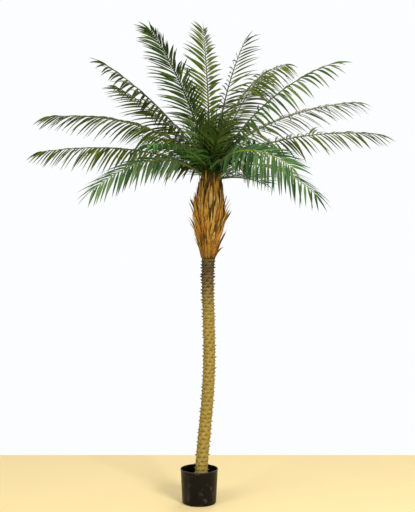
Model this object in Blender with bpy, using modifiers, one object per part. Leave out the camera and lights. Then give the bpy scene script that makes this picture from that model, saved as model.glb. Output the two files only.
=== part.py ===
"""An artificial phoenix palm in a plain round nursery pot, as separate solids.

Feather fronds stand on a tapering heart, above a spindle of fibre husk strips, on a
slim studded trunk that is set in the cement fill of the pot. Metres, +Z up. The origin
is the centre of the pot's flat underside.
"""

import math

import bmesh
import bpy
import numpy as np
from mathutils import Vector
from mathutils.bvhtree import BVHTree

GAP = 0.0003
UP = np.array([0.0, 0.0, 1.0])

# Pot and its fill
POT_HEIGHT = 0.193
POT_TOP_RADIUS = 0.105
POT_FOOT_RADIUS = 0.096
POT_WALL = 0.003
POT_EDGE = 0.007
RIM_PROUD = 0.0015
RIM_HEIGHT = 0.007
POT_SIDES = 32
FILL_TOP = 0.128

# Trunk: how far its centre line lies from the axis at hand-set heights
TRUNK_FOOT = FILL_TOP + GAP
TRUNK_TOP = 1.381
TRUNK_LEAN = ((0.13, 0.011), (0.42, 0.032), (0.73, 0.054), (0.92, 0.057), (1.25, 0.048), (1.38, 0.052))
TRUNK_RADII = ((0.13, 0.035), (0.60, 0.033), (1.10, 0.032), (1.30, 0.033), (1.381, 0.037))
TRUNK_SIDES = 12
TRUNK_RINGS = 56
STUD_HEIGHT = 0.009

# Husk spindle: a core, and tiers of pointed strips that overlap like shingles
HUSK_FOOT = TRUNK_TOP + GAP
HUSK_SHOULDER = 1.76
HUSK_TOP = 1.828
HUSK_RADII = ((1.38, 0.038), (1.45, 0.052), (1.54, 0.073), (1.63, 0.085), (1.72, 0.078), (1.828, 0.056))
HUSK_LEAN = ((1.38, 0.052), (1.828, 0.063))
HUSK_SIDES = 28
STRIP_COUNT = 18
STRIP_THICK = 0.0025
STRIP_REACH = 0.120
STRIP_FLARE = 0.16
STRIP_NARROWING = (0.85, 0.18)
COLLAR_HEIGHT = 0.014
TIER_FOOT = 1.388
TIER_STEP = 0.058
TIER_COUNT = 6

# Heart: the cone that the frond stems stand on
HEART_X = 0.065
HEART_FOOT = HUSK_TOP + GAP
HEART_HEIGHT = 0.165
HEART_RADIUS = 0.059
HEART_TAPER = 0.20
HEART_SIDES = 32
STEM_FOOT = 1.836

# Frond: rib, and the leaflets along it
RIB_LENGTH = 0.96
RIB_WIDTH = (0.0115, 0.0045)
KEEL_DEPTH = 0.8
STEM_RING = 0.07
EARLY, LATE = 0.5, 1.3
PAIRS = 13
BARE_STEM = 0.14
LEAFLET_LENGTH = 0.185
LEAFLET_WIDTH = 0.021
LEAFLET_ROOT = 0.014
LEAFLET_THICK = 0.0026
LEAFLET_LENGTHS = ((0.1, 0.6), (0.35, 0.95), (0.6, 1.0), (0.85, 0.75), (1.0, 0.5))
LEAFLET_ELBOW = 0.45
SHORTENED = (1.0, 0.75, 0.5)
LEAFLET_SAG = 0.6
SPLAY_FOOT, SPLAY_TIP = 58.0, 25.0
TIP_BLADE = 0.075
CLEAR = 0.0008

# Each frond: azimuth (0 is +X, 90 is +Y), height of its foot up the heart, angle at which
# it leaves, how far that angle falls to the tip, whether it bends early or late, roll
# about its own rib, lift of both leaflet rows above the rib's side, spread of the leaflets
# away from the rib, share of the full length
FRONDS = {
    "left_low": (177, 0.045, 38, 46, EARLY, 34, -12, 1.35, 0.98),
    "left_level": (180, 0.085, 60, 64, EARLY, 32, -10, 1.05, 0.98),
    "left_rising": (152, 0.100, 51, 20, LATE, -25, -15, 1.15, 1.00),
    "left_back_rising": (138, 0.085, 44, 18, LATE, 0, -25, 1.00, 0.98),
    "left_back_short": (122, 0.070, 42, 34, EARLY, 10, -30, 1.00, 0.95),
    "left_back_low": (108, 0.030, 38, 36, EARLY, -10, -20, 1.00, 0.95),
    "left_front_drooping": (224, 0.005, 50, 88, EARLY, 38, -16, 1.00, 0.86),
    "left_front": (248, 0.060, 30, 42, EARLY, 5, -2, 0.80, 0.80),
    "left_upper": (246, 0.100, 52, 30, LATE, -4, -10, 0.68, 0.93),
    "front_rising": (276, 0.095, 20, 26, LATE, 8, 26, 0.60, 0.74),
    "right_front": (295, 0.060, 34, 60, EARLY, -40, -16, 1.00, 0.92),
    "right_front_drooping": (311, 0.000, 44, 82, EARLY, -25, -20, 1.00, 0.83),
    "right_rising": (343, 0.090, 56, 40, LATE, -22, -26, 1.20, 0.88),
    "right_level": (4, 0.070, 44, 48, EARLY, -31, -11, 1.35, 1.00),
    "right_back": (16, 0.100, 58, 51, EARLY, -20, -8, 0.85, 1.01),
    "right_upper": (42, 0.120, 70, 54, LATE, -25, -38, 1.15, 0.95),
    "back_right_low": (58, 0.000, 20, 26, EARLY, 0, 30, 1.00, 0.62),
    "back_right": (60, 0.095, 53, 18, LATE, 0, -20, 1.00, 0.95),
    "back_right_upper": (62, 0.135, 70, 22, LATE, 8, -28, 0.50, 0.94),
    "back_low": (82, 0.030, 40, 36, EARLY, 10, -20, 1.00, 0.95),
    "crown": (98, 0.140, 82, 28, LATE, -22, -22, 0.90, 0.90),
}

# Colour, roughness and metallic value
FINISHES = {
    "pot": ((0.018, 0.015, 0.014, 1), 0.35, 0.0),
    "fill": ((0.10, 0.09, 0.08, 1), 0.95, 0.0),
    "trunk": ((0.33, 0.26, 0.08, 1), 0.75, 0.0),
    "husk": ((0.52, 0.27, 0.07, 1), 0.85, 0.0),
    "heart": ((0.10, 0.12, 0.03, 1), 0.70, 0.0),
    "frond": ((0.06, 0.16, 0.05, 1), 0.50, 0.0),
}


def clear_scene():
    for obj in list(bpy.data.objects):
        bpy.data.objects.remove(obj)


def material_for(name, finish):
    """A Principled material of its own for one object."""
    colour, roughness, metallic = FINISHES[finish]
    material = bpy.data.materials.new(name)
    material.use_nodes = True
    shader = material.node_tree.nodes["Principled BSDF"]
    shader.inputs["Base Color"].default_value = colour
    shader.inputs["Roughness"].default_value = roughness
    shader.inputs["Metallic"].default_value = metallic
    return material


def add_object(name, mesh, finish, parent, place=(0, 0, 0)):
    """One named sub-part in the palm's collection, at its place under its parent."""
    obj = bpy.data.objects.new(name, mesh)
    mesh.materials.append(material_for(name, finish))
    mesh.shade_smooth()
    mesh.set_sharp_from_angle(angle=math.radians(40))
    bpy.data.collections["phoenix_palm"].objects.link(obj)
    obj.parent = parent
    obj.location = Vector(place) - parent.location
    return obj


def add_empty(name, place=(0, 0, 0)):
    empty = bpy.data.objects.new(name, None)
    bpy.data.collections["phoenix_palm"].objects.link(empty)
    empty.location = place
    return empty


def finished(bm, name):
    """The bmesh as a mesh, with its faces turned outwards."""
    bmesh.ops.recalc_face_normals(bm, faces=bm.faces)
    mesh = bpy.data.meshes.new(name)
    bm.to_mesh(mesh)
    bm.free()
    return mesh


def between(pairs, height):
    """Straight interpolation in a list of (height, value), or of (share, value)."""
    heights, values = zip(*pairs)
    return float(np.interp(height, heights, values))


def trunk_centre(height):
    """A smooth curve of the fourth degree near the hand-set leans."""
    heights, leans = zip(*TRUNK_LEAN)
    return float(np.polynomial.Polynomial.fit(heights, leans, 4)(height))


def circle(centre_x, radius, height, sides, turn=0.0):
    angles = turn + 2 * math.pi * np.arange(sides) / sides
    return np.stack([centre_x + radius * np.cos(angles), radius * np.sin(angles), np.full(sides, height)], 1)


def loft(bm, rings, caps=True):
    """Skin a list of equal rings with quads; returns the quads, ring by ring."""
    loops = [[bm.verts.new(point) for point in ring] for ring in rings]
    rows = []
    for low, high in zip(loops, loops[1:]):
        corners = zip(low, low[1:] + low[:1], high[1:] + high[:1], high)
        rows.append([bm.faces.new(quad) for quad in corners])
    if caps:
        bm.faces.new(loops[0][::-1])
        bm.faces.new(loops[-1])
    return rows


def turned(name, profile, finish, parent):
    """A profile of (radius, height) turned about the upright axis by a Screw modifier."""
    mesh = bpy.data.meshes.new(name)
    points = [(radius, 0, height) for radius, height in profile]
    mesh.from_pydata(points, [(i, i + 1) for i in range(len(points) - 1)], [])
    obj = add_object(name, mesh, finish, parent)
    screw = obj.modifiers.new("Turn", "SCREW")
    screw.steps = POT_SIDES
    screw.render_steps = POT_SIDES
    screw.use_merge_vertices = True
    screw.merge_threshold = 0.00005
    return obj


def pot_radius(height):
    return POT_FOOT_RADIUS + (POT_TOP_RADIUS - POT_FOOT_RADIUS) * height / POT_HEIGHT


def make_pot(parent):
    """Thin tapered wall with a small lip, a rounded lower edge and a flat base."""
    edge = [
        (pot_radius(0) - POT_EDGE + POT_EDGE * math.cos(a), POT_EDGE - POT_EDGE * math.sin(a))
        for a in np.radians((0, 30, 60, 90))
    ]
    lip_foot = POT_HEIGHT - RIM_HEIGHT
    profile = [
        (0, POT_WALL),
        (pot_radius(0) - POT_WALL - POT_EDGE / 2, POT_WALL),
        (pot_radius(POT_EDGE) - POT_WALL, POT_EDGE + POT_WALL),
        (POT_TOP_RADIUS - POT_WALL, POT_HEIGHT),
        (POT_TOP_RADIUS + RIM_PROUD, POT_HEIGHT),
        (POT_TOP_RADIUS + RIM_PROUD, lip_foot),
        (pot_radius(lip_foot), lip_foot - RIM_PROUD),
        *edge,
        (0, 0),
    ]
    return turned("pot", profile, "pot", parent)


def make_fill(parent):
    """Cement cast in the pot, level on top, clear of the wall all round."""
    inset = POT_WALL + 2 * GAP
    profile = [
        (0, FILL_TOP),
        (pot_radius(FILL_TOP) - inset, FILL_TOP),
        (pot_radius(POT_EDGE) - inset - GAP, POT_EDGE + POT_WALL + GAP),
        (pot_radius(0) - inset - POT_EDGE / 2 - GAP, POT_WALL + GAP),
        (0, POT_WALL + GAP),
    ]
    return turned("pot_fill", profile, "fill", parent)


def make_trunk(parent):
    """Bowed tapering stem; every other quad is poked outwards as a short spike."""
    bm = bmesh.new()
    heights = np.linspace(TRUNK_FOOT, TRUNK_TOP, TRUNK_RINGS)
    rings = [
        circle(trunk_centre(z), between(TRUNK_RADII, z), z, TRUNK_SIDES)
        for z in heights
    ]
    rows = loft(bm, rings)
    studs = [
        face
        for i, row in enumerate(rows[1:-1])
        for j, face in enumerate(row)
        if (i + j) % 2 == 0
    ]
    bmesh.ops.poke(bm, faces=studs, offset=STUD_HEIGHT)
    return add_object("trunk", finished(bm, "trunk"), "trunk", parent)


def make_husk_core(parent):
    """Spindle that the strips lie round, with a ring at each tier's two edges."""
    feet = [TIER_FOOT + TIER_STEP * k for k in range(TIER_COUNT)]
    heights = sorted([HUSK_FOOT, HUSK_SHOULDER, HUSK_TOP, *feet, *[z + COLLAR_HEIGHT for z in feet]])
    rings = [circle(between(HUSK_LEAN, z), between(HUSK_RADII, z), z, HUSK_SIDES) for z in heights]
    bm = bmesh.new()
    loft(bm, rings)
    return add_object("husk_core", finished(bm, "husk_core"), "husk", parent)


def strip_end(corners, low, height, narrowing):
    """The four corners of a strip's section, carried from one height to the next: they
    follow the core's swelling, lean out by the flare and draw in to the strip's middle."""
    axis_low = np.array([between(HUSK_LEAN, low), 0])
    axis_high = np.array([between(HUSK_LEAN, height), 0])
    grown = between(HUSK_RADII, height) - between(HUSK_RADII, low)
    middle = corners.mean(0)[:2] - axis_low
    outward = middle / np.linalg.norm(middle)
    along = np.array([-outward[1], outward[0]])
    ends = []
    for corner in corners[:, :2] - axis_low:
        radial = corner @ outward + grown + STRIP_FLARE * (height - low)
        spread = (corner @ along) * narrowing
        ends.append([*(axis_high + radial * outward + spread * along), height])
    return np.array(ends)


def carry_face(bm, face, move):
    """Extrude one face on its own, then place its corners with move(old corners)."""
    made = bmesh.ops.extrude_discrete_faces(bm, faces=[face])["faces"][0]
    corners = np.array([vert.co for vert in made.verts])
    for vert, place in zip(made.verts, move(corners)):
        vert.co = place
    return made


def make_husk_tier(index, parent):
    """A collar round the core whose top faces grow into flat pointed strips."""
    foot = TIER_FOOT + TIER_STEP * index
    top = foot + COLLAR_HEIGHT
    turn = math.pi / STRIP_COUNT * (index % 2)
    to_corner = 1 / math.cos(math.pi / STRIP_COUNT)
    bm = bmesh.new()
    loops = []
    for height, outer in ((foot, True), (top, True), (top, False), (foot, False)):
        inner = (between(HUSK_RADII, height) + GAP) * to_corner
        radius = inner + STRIP_THICK * outer
        loops.append(circle(between(HUSK_LEAN, height), radius, height, STRIP_COUNT, turn))
    rows = loft(bm, [*loops, loops[0]], caps=False)
    bmesh.ops.remove_doubles(bm, verts=bm.verts, dist=0.00001)
    half = top + STRIP_REACH / 2
    end = top + STRIP_REACH
    at_half, at_end = STRIP_NARROWING
    for face in rows[1]:
        face = carry_face(bm, face, lambda c: strip_end(c, top, half, at_half))
        carry_face(bm, face, lambda c: strip_end(c, half, end, at_end / at_half))
    name = f"husk_tier_{index + 1}"
    return add_object(name, finished(bm, name), "husk", parent)


def heart_radius(height):
    return HEART_RADIUS - HEART_TAPER * (height - HEART_FOOT)


def make_heart(parent):
    """The cone in the middle of the crown."""
    top = HEART_FOOT + HEART_HEIGHT
    rings = [circle(HEART_X, heart_radius(z), z, HEART_SIDES) for z in (HEART_FOOT, top)]
    bm = bmesh.new()
    loft(bm, rings)
    return add_object("heart", finished(bm, "heart"), "heart", parent)


def rib_frames(spec, shares):
    """Points and frames along a rib. The angle above level falls from launch by
    droop times share to the power bend; the path is that direction added up."""
    azimuth, rise, launch, droop, bend, roll, _, _, length_share = spec
    heading = math.radians(azimuth)
    flat = np.array([math.cos(heading), math.sin(heading), 0.0])
    side = np.cross(flat, UP)
    fine = np.linspace(0, 1, 201)
    middle = (fine[1:] + fine[:-1]) / 2
    angle = np.radians(launch - droop * middle**bend)
    step = RIB_LENGTH * length_share / len(middle)
    run = np.concatenate([[0], np.cumsum(np.cos(angle)) * step])
    climb = np.concatenate([[0], np.cumsum(np.sin(angle)) * step])
    foot = np.array([HEART_X, 0, STEM_FOOT + rise]) + heart_radius(STEM_FOOT + rise) * flat
    points = foot + np.outer(np.interp(shares, fine, run), flat)
    points += np.outer(np.interp(shares, fine, climb), UP)
    angles = np.radians(launch - droop * np.asarray(shares) ** bend)
    ahead = np.outer(np.cos(angles), flat) + np.outer(np.sin(angles), UP)
    above = np.cross(side, ahead)
    turn = math.radians(roll) * np.clip(np.asarray(shares) / BARE_STEM, 0, 1)[:, None]
    across = np.cos(turn) * side + np.sin(turn) * above
    over = np.cos(turn) * above - np.sin(turn) * side
    return points, ahead, across, over


def leaflet_shares(spec):
    """Where the leaflet roots begin and end along the rib, pair by pair."""
    middles = BARE_STEM + (1 - BARE_STEM) * (np.arange(PAIRS) + 0.4) / PAIRS
    half = LEAFLET_ROOT / (2 * RIB_LENGTH * spec[8])
    return np.stack([middles - half, middles + half], 1)


def rib_rings(spec):
    """Three-sided sections: flat on top with a keel, one at each leaflet edge."""
    shares = np.concatenate([[0.0, STEM_RING], leaflet_shares(spec).ravel(), [1.0]])
    points, ahead, across, over = rib_frames(spec, shares)
    width = np.interp(shares, (0, 1), RIB_WIDTH)[:, None]
    left = points + across * width / 2
    keel = points - over * width * KEEL_DEPTH
    right = points - across * width / 2
    rings = np.stack([left, keel, right], 1)
    flat = np.array([math.cos(math.radians(spec[0])), math.sin(math.radians(spec[0])), 0])
    foot = np.vstack([rings[0], rings[0][[0, 2]].mean(0)])
    radial = np.linalg.norm((foot - np.array([HEART_X, 0, 0]))[:, :2], axis=1)
    allowed = np.array([heart_radius(z) + 1.5 * GAP for z in foot[:, 2]])
    return rings + flat * max(allowed - radial)


def leaflet_shape(spec, share, side, root, reach):
    """The middle section and the tip of one leaflet. It sets out between the rib's
    direction and its side, turned by the frond's lift, and bends down as it goes."""
    points, ahead, across, over = (value[0] for value in rib_frames(spec, [share]))
    splay = math.radians(spec[7] * (SPLAY_FOOT + (SPLAY_TIP - SPLAY_FOOT) * share**2))
    lift = math.radians(spec[6])
    sideways = side * math.cos(lift) * across + math.sin(lift) * over
    start = math.cos(splay) * ahead + math.sin(splay) * sideways
    length = LEAFLET_LENGTH * between(LEAFLET_LENGTHS, share) * reach
    first = start - LEAFLET_SAG * LEAFLET_ELBOW / 2 * UP
    second = start - LEAFLET_SAG * (1 + LEAFLET_ELBOW) / 2 * UP
    first /= np.linalg.norm(first)
    second /= np.linalg.norm(second)
    middle = root.mean(0) + first * length * LEAFLET_ELBOW
    tip = middle + second * length * (1 - LEAFLET_ELBOW)
    wide = ahead - first * (ahead @ first)
    wide *= LEAFLET_WIDTH / 2 / np.linalg.norm(wide)
    thick = np.cross(first, wide)
    thick *= LEAFLET_THICK / 2 / np.linalg.norm(thick)
    section = []
    for corner in root - root.mean(0):
        section.append(middle + wide * np.sign(corner @ wide) + thick * np.sign(corner @ thick))
    return np.array(section), tip


def leaflet_tree(root, section, tip):
    """A search tree of one leaflet's faces, to test it against its neighbours."""
    points = np.vstack([root, section, [tip]])
    sides = [(i, (i + 1) % 4, (i + 1) % 4 + 4, i + 4) for i in range(4)]
    ends = [(i + 4, (i + 1) % 4 + 4, 8) for i in range(4)]
    return BVHTree.FromPolygons(points.tolist(), sides + ends, epsilon=CLEAR)


def rib_tree(rings):
    points = rings.reshape(-1, 3)
    quads = [
        (3 * i + j, 3 * i + (j + 1) % 3, 3 * i + 3 + (j + 1) % 3, 3 * i + 3 + j)
        for i in range(len(rings) - 1)
        for j in range(3)
    ]
    return BVHTree.FromPolygons(points.tolist(), quads, epsilon=CLEAR)


def object_tree(obj):
    """A search tree of a finished object, in the palm's own frame."""
    place = obj.location + obj.parent.location
    points = [vert.co + place for vert in obj.data.vertices]
    faces = [list(face.vertices) for face in obj.data.polygons]
    return BVHTree.FromPolygons(points, faces, epsilon=CLEAR)


def leaflets_of(spec, rings, others, taken):
    """Every leaflet that fits beside its neighbours, shortened where it must be."""
    kept = []
    for pair, (begin, end) in enumerate(leaflet_shares(spec)):
        low, high = rings[2 + 2 * pair], rings[3 + 2 * pair]
        for side, column in ((1, 0), (-1, 1)):
            root = np.array([low[column], high[column], high[column + 1], low[column + 1]])
            for reach in SHORTENED:
                section, tip = leaflet_shape(spec, (begin + end) / 2, side, root, reach)
                tree = leaflet_tree(root, section, tip)
                if not any(tree.overlap(other) for other in others + taken):
                    kept.append((pair, column, root, section, tip))
                    taken.append(tree)
                    break
    return kept


def grow(bm, face, root, section, tip):
    """Carry a face of the rib out to the leaflet's middle section and to its tip."""

    def matched(corners):
        order = [np.argmin(np.linalg.norm(root - corner, axis=1)) for corner in corners]
        return section[order]

    middle = carry_face(bm, face, matched)
    end = carry_face(bm, middle, lambda corners: corners)
    bmesh.ops.pointmerge(bm, verts=list(end.verts), merge_co=tip)


def make_frond(name, spec, rings, leaflets, parent):
    """A keeled rib, its leaflets grown from its side faces, and a blade at its tip."""
    foot = rings[0].mean(0)
    bm = bmesh.new()
    rows = loft(bm, rings - foot)
    grown = [(rows[2 + 2 * pair][column], *shape) for pair, column, *shape in leaflets]
    for face, root, section, tip in grown:
        grow(bm, face, root - foot, section - foot, tip - foot)
    bm.faces.ensure_lookup_table()
    last = rings[-1] - foot
    cap = min(bm.faces, key=lambda face: (face.calc_center_median() - Vector(last.mean(0))).length)
    ahead = rib_frames(spec, [1.0])[1][0]
    end = carry_face(bm, cap, lambda corners: corners)
    bmesh.ops.pointmerge(bm, verts=list(end.verts), merge_co=last.mean(0) + ahead * TIP_BLADE)
    return add_object("frond_" + name, finished(bm, name), "frond", parent, foot)


def make_crown(parent, neighbours):
    """All fronds: the ribs take their places first, then the leaflets round them."""
    rings = {name: rib_rings(spec) for name, spec in FRONDS.items()}
    ribs = {name: rib_tree(value) for name, value in rings.items()}
    taken = []
    for name, spec in FRONDS.items():
        others = neighbours + [tree for other, tree in ribs.items() if other != name]
        leaflets = leaflets_of(spec, rings[name], others, taken)
        make_frond(name, spec, rings[name], leaflets, parent)


def main():
    clear_scene()
    bpy.context.scene.collection.children.link(bpy.data.collections.new("phoenix_palm"))
    palm = add_empty("palm")
    crown = add_empty("crown_seat", (HEART_X, 0, HEART_FOOT))
    crown.parent = palm
    make_pot(palm)
    make_fill(palm)
    solids = [make_trunk(palm), make_husk_core(palm), make_heart(palm)]
    solids += [make_husk_tier(index, palm) for index in range(TIER_COUNT)]
    make_crown(crown, [object_tree(obj) for obj in solids])


main()
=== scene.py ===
"""Looks of an artificial phoenix palm in a plain round pot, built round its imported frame.

Metres, +Z up. The origin is the centre of the pot's flat underside. Every piece is a
surface worked out with arrays, as one stack of closed rings or many.
"""

import math

import bpy
import numpy as np
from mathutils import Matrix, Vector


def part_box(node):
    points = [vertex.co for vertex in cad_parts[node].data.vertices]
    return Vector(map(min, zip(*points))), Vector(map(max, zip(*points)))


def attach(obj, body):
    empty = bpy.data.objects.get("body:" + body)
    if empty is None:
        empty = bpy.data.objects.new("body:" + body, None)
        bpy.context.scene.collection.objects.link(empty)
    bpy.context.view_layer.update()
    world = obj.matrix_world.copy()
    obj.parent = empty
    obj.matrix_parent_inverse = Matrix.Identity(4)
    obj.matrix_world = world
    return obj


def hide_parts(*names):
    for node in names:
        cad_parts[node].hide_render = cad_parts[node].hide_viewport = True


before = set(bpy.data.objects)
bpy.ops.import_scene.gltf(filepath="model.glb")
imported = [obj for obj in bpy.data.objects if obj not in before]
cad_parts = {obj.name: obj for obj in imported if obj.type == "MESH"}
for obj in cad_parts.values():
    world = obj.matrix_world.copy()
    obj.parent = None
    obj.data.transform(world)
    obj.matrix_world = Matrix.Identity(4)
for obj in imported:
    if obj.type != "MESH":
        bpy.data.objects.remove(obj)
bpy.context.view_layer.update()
UP = np.array([0.0, 0.0, 1.0])
FULL_TURN = 2 * math.pi

# Pot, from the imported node
POT_LIP_RADIUS, _, POT_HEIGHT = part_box("pot")[1]
LIP_PROUD = 0.0015
POT_TAPER = 0.009
POT_TOP_RADIUS = POT_LIP_RADIUS - LIP_PROUD
POT_FOOT_RADIUS = POT_TOP_RADIUS - POT_TAPER
POT_OVAL = 0.004
POT_WALL = 0.003
POT_EDGE = 0.007
LIP_HEIGHT = 0.007
LIP_BULGE = 0.35

# Cement fill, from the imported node, a hair short of the pot's wall
FILL_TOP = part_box("pot_fill")[1][2]
FILL_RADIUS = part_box("pot_fill")[1][0] - 0.0004
FILL_FOOT = 0.03
TRUNK_CREEP, WALL_CREEP = 0.004, 0.0025
FILL_SEED = 3

# Trunk: the source's rule for its centre line and its radius, by height
TRUNK_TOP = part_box("trunk")[1][2]
TRUNK_LEAN = ((0.13, 0.011), (0.42, 0.032), (0.73, 0.054), (0.92, 0.057), (1.25, 0.048), (1.38, 0.052))
TRUNK_RADII = (
    (0.13, 0.039), (0.160, 0.036), (0.60, 0.0345), (1.10, 0.0335), (1.30, 0.0345), (1.381, 0.0375),
)
STUDS_ROUND = 6
STUD_PITCH = ((0.13, 0.026), (0.75, 0.022), (1.38, 0.017))
STUD_SHEAR = 0.12
BOSS_RISE, HOLLOW_DEPTH, RIDGE_RISE = 0.0030, 0.0022, 0.0016
BOSS_ROUND, BOSS_UP = 0.0080, 0.0050
HOLLOW_BELOW, HOLLOW_UP, HOLLOW_SLANT = 0.0045, 0.0040, 0.12
RIDGE_SPREAD = 0.14
BARK_SUNK = 0.0012
RADIUS_IN_FILL = 0.0335
THORN_REACH, THORN_ROOT, THORN_RISE = 0.0095, 0.0062, 0.30
STUD_SEED = 11

# Husk spindle, by the source's rule
HUSK_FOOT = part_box("husk_core")[0][2]
HUSK_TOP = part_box("husk_core")[1][2]
HUSK_RADII = ((1.38, 0.038), (1.45, 0.052), (1.54, 0.073), (1.63, 0.085), (1.72, 0.078), (1.828, 0.056))
HUSK_LEAN = ((1.38, 0.052), (1.828, 0.063))
TIERS = 12
STRIPS_ROUND = 20
TIER_FOOT, TIER_LAST = 1.384, 1.765
STRIP_LENGTH = (0.078, 0.132)
STRIP_HALF = (0.0056, 0.0124)
STRIP_THICK = 0.0034
STRIPS_PAST_TOP = 0.055
LOOSE_SHARE = 0.45
HAIR_COUNT = 320
HAIR_LENGTH = (0.035, 0.085)
HAIR_HALF = 0.00045
HUSK_SEED = 5

# One short strip that curls off low on the right: angle, foot, length, flare, drift
CHIP = (-0.50, 1.394, 0.056, 0.62, 0.0)
CHIP_TURN, CHIP_HALF = 1.3, 0.0105

# Shares of ochre, straw and rust strips by height, and brown for the rest
STRIP_CHANCES = (
    ((1.40, 0.40), (1.50, 0.44), (1.62, 0.44), (1.72, 0.22)),
    ((1.40, 0.06), (1.52, 0.30), (1.62, 0.32), (1.72, 0.18)),
    ((1.40, 0.34), (1.52, 0.14), (1.72, 0.12)),
)

# Heart, the cone that carries the stems
HEART_X = 0.065
HEART_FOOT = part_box("heart")[0][2]
HEART_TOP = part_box("heart")[1][2]
HEART_RADIUS = 0.059
HEART_TAPER = 0.20
HEART_SHOULDER = HEART_TOP - 0.02
HEART_DOME = 0.019
STEM_FOOT = 1.836
HEART_SEED = 17

# Fronds, by the source's rule
RIB_LENGTH = 0.96
BARE_STEM = 0.14
RIB_SUNK = 0.012
RIB_HALF = ((0, 0.0125), (0.03, 0.0095), (0.12, 0.0060), (0.5, 0.0042), (1, 0.0016))
RIB_DEEP = ((0, 0.0120), (0.12, 0.0105), (0.5, 0.0075), (1, 0.0028))
EARLY, LATE = 0.5, 1.3
LEAFLET_LENGTH = 0.188
LEAFLET_WIDTH = 0.0205
LEAFLET_THICK = 0.0012
LEAFLET_LENGTHS = ((0.04, 0.62), (0.1, 0.78), (0.35, 0.98), (0.6, 1.0), (0.85, 0.84), (1.0, 0.60))
SPLAY_FOOT, SPLAY_TIP = 58.0, 25.0
ROOT_ASIDE, ROOT_UNDER = 0.0025, 0.001
FROND_SEED = 101

# Each frond: azimuth (0 is +X, 90 is +Y), height of its foot up the heart, angle at which
# it leaves, how far that angle falls to the tip, whether it bends early or late, roll
# about its own rib, lift of both leaflet rows, spread of the leaflets from the rib, share
# of the full length; then pairs of leaflets, share of the rib at which they start (one
# for both rows, or one for each), pitch and breadth of their blades, how far they sag,
# and their tone, which for many fronds is painted light and shade
FRONDS = {
    "left_low": (177, 0.045, 38, 46, EARLY, 30, -18, 1.35, 0.98, 54, 0.04, 10, 0.98, 0.62, "olive"),
    "left_level": (180, 0.085, 60, 64, EARLY, 30, -14, 1.05, 0.98, 56, 0.04, 24, 1.02, 0.64, "olive"),
    "left_rising": (152, 0.100, 51, 20, LATE, -25, -15, 1.15, 1.00, 32, 0.03, 16, 1.25, 0.50, "olive"),
    "left_back_rising": (138, 0.085, 44, 18, LATE, 0, -25, 1.0, 0.98, 38, 0.03, -10, 0.88, 0.40, "shade"),
    "left_back_short": (122, 0.070, 42, 34, EARLY, 10, -30, 1.0, 0.95, 30, 0.03, 6, 0.58, 0.50, "shade"),
    "left_back_low": (108, 0.030, 38, 36, EARLY, -10, -20, 1.0, 0.95, 30, 0.03, 6, 0.58, 0.40, "dark"),
    "left_front_drooping":
        (224, 0.005, 50, 88, EARLY, 38, -16, 0.8, 0.86, 27, (0.07, 0.22), 14, 1.04, 0.35, "greyish"),
    "left_front": (248, 0.060, 30, 42, EARLY, 5, -2, 0.8, 0.80, 38, 0.03, -12, 1.00, 0.50, "fresh"),
    "left_upper": (246, 0.100, 52, 30, LATE, -4, -10, 0.68, 0.93, 60, 0.03, 8, 0.79, 0.45, "deep"),
    "front_rising": (276, 0.095, 20, 26, LATE, 8, 26, 0.60, 0.74, 60, 0.03, -14, 0.34, 0.25, "middling"),
    "right_front": (295, 0.060, 34, 60, EARLY, -40, -16, 1.0, 0.92, 40, 0.05, 20, 1.00, 0.45, "bluish"),
    "right_front_drooping":
        (311, 0.000, 44, 82, EARLY, -25, -20, 1.0, 0.83, 24, 0.28, 8, 0.92, 0.50, "bluish"),
    "right_rising": (343, 0.090, 56, 40, LATE, -38, -18, 1.5, 0.88, 29, 0.03, -4, 1.02, 0.60, "deep"),
    "right_level": (4, 0.070, 44, 48, EARLY, -31, -11, 1.35, 1.00, 44, 0.04, 10, 1.00, 0.45, "olive"),
    "right_back": (16, 0.100, 58, 51, EARLY, -30, -14, 1.05, 1.01, 48, 0.03, 22, 0.90, 0.60, "pale"),
    "right_upper":
        (42, 0.120, 70, 54, LATE, -36, -26, 1.4, 0.95, 29, (0.55, 0.04), -8, 0.80, 0.70, "yellow"),
    "back_right_low": (58, 0.000, 20, 26, EARLY, 0, 30, 1.0, 0.62, 26, 0.05, 6, 0.85, 0.35, "dark"),
    "back_right": (60, 0.095, 53, 18, LATE, 0, -20, 1.0, 0.95, 58, 0.03, -20, 0.60, 0.55, "pale"),
    "back_right_upper": (62, 0.135, 70, 22, LATE, 8, -28, 0.85, 0.94, 28, 0.03, -24, 0.66, 0.35, "shade"),
    "back_low": (82, 0.030, 40, 36, EARLY, 10, -20, 1.0, 0.95, 38, 0.03, 6, 0.64, 0.40, "dark"),
    "crown": (98, 0.140, 82, 28, LATE, -22, -22, 0.9, 0.90, 42, 0.03, 4, 1.00, 0.28, "yellow"),
}

# Short leaflets that stand between the stems all round the heart
INNER_COUNT = 560
INNER_LENGTH = (0.09, 0.20)
INNER_BREADTH = (0.26, 0.50)
INNER_SEED = 71
GOLDEN_TURN = 0.381966
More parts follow.
